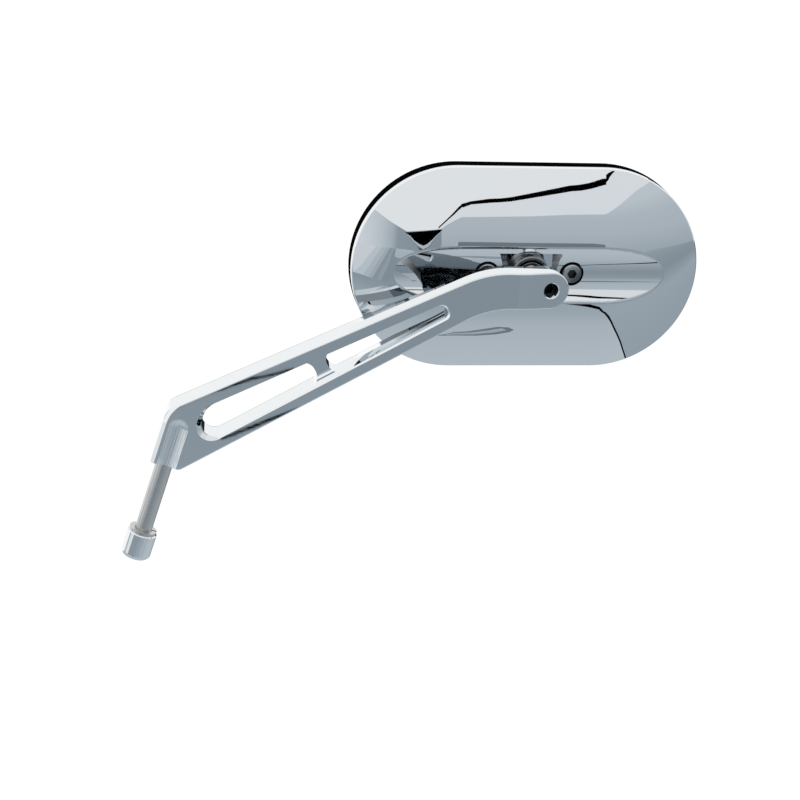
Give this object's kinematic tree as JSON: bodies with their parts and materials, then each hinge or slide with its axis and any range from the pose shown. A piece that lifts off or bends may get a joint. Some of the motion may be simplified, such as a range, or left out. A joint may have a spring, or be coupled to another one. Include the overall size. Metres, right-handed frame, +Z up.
{
  "type": "motorcycle handlebar mirror",
  "caption": "Motorcycle handlebar mirror: slotted angled arm on a threaded stud, and an oval domed head with a scooped back on a ball joint that tilts and turns.",
  "frame": {"origin": "centre of the leg's base face, on the axis of the mounting stud", "axes": "+X outboard along the arm, +Y towards the rider, so the glass faces +Y, +Z up"},
  "size_m": [0.2654, 0.0557, 0.1859],
  "materials": {
    "chrome": "polished",
    "steel": "satin",
    "liner": "matte",
    "rubber": "matte",
    "mirror": "polished"
  },
  "bodies": {
    "arm": {"arm": "chrome", "mounting_stud": "steel", "ball_stud": "chrome"},
    "nut": {"stud_nut": "chrome", "lock_washer": "steel"},
    "front_socket": {"socket_liner_front": "liner"},
    "rear_socket": {"socket_liner_rear": "liner"},
    "head": {"head_shell": "chrome", "socket_collar": "chrome", "clamp_plate": "steel", "clamp_screw_left": "steel", "clamp_screw_right": "steel", "screw_washer_left": "rubber", "screw_washer_right": "rubber", "mirror_glass": "mirror", "glass_pad": "rubber", "glass_gasket": "rubber"}
  },
  "joints": [
    {"name": "nut_off", "type": "slide", "parent": "arm", "child": "nut", "axis": [-0.2672, 0, -0.9636], "range_m": [0, 0.1]},
    {"name": "head_roll", "type": "hinge", "parent": "arm", "child": "front_socket", "pos_m": [0.16509, 0.02373, 0.0889], "axis": [0.0872, -0.9962, 0], "range_deg": [-15, 15]},
    {"name": "head_pitch", "type": "hinge", "parent": "front_socket", "child": "rear_socket", "pos_m": [0.16509, 0.02373, 0.0889], "axis": [0.9962, 0.0872, 0], "range_deg": [-10, 10]},
    {"name": "head_yaw", "type": "hinge", "parent": "rear_socket", "child": "head", "pos_m": [0.16509, 0.02373, 0.0889], "axis": [0, 0, 1], "range_deg": [-10, 6]}
  ]
}
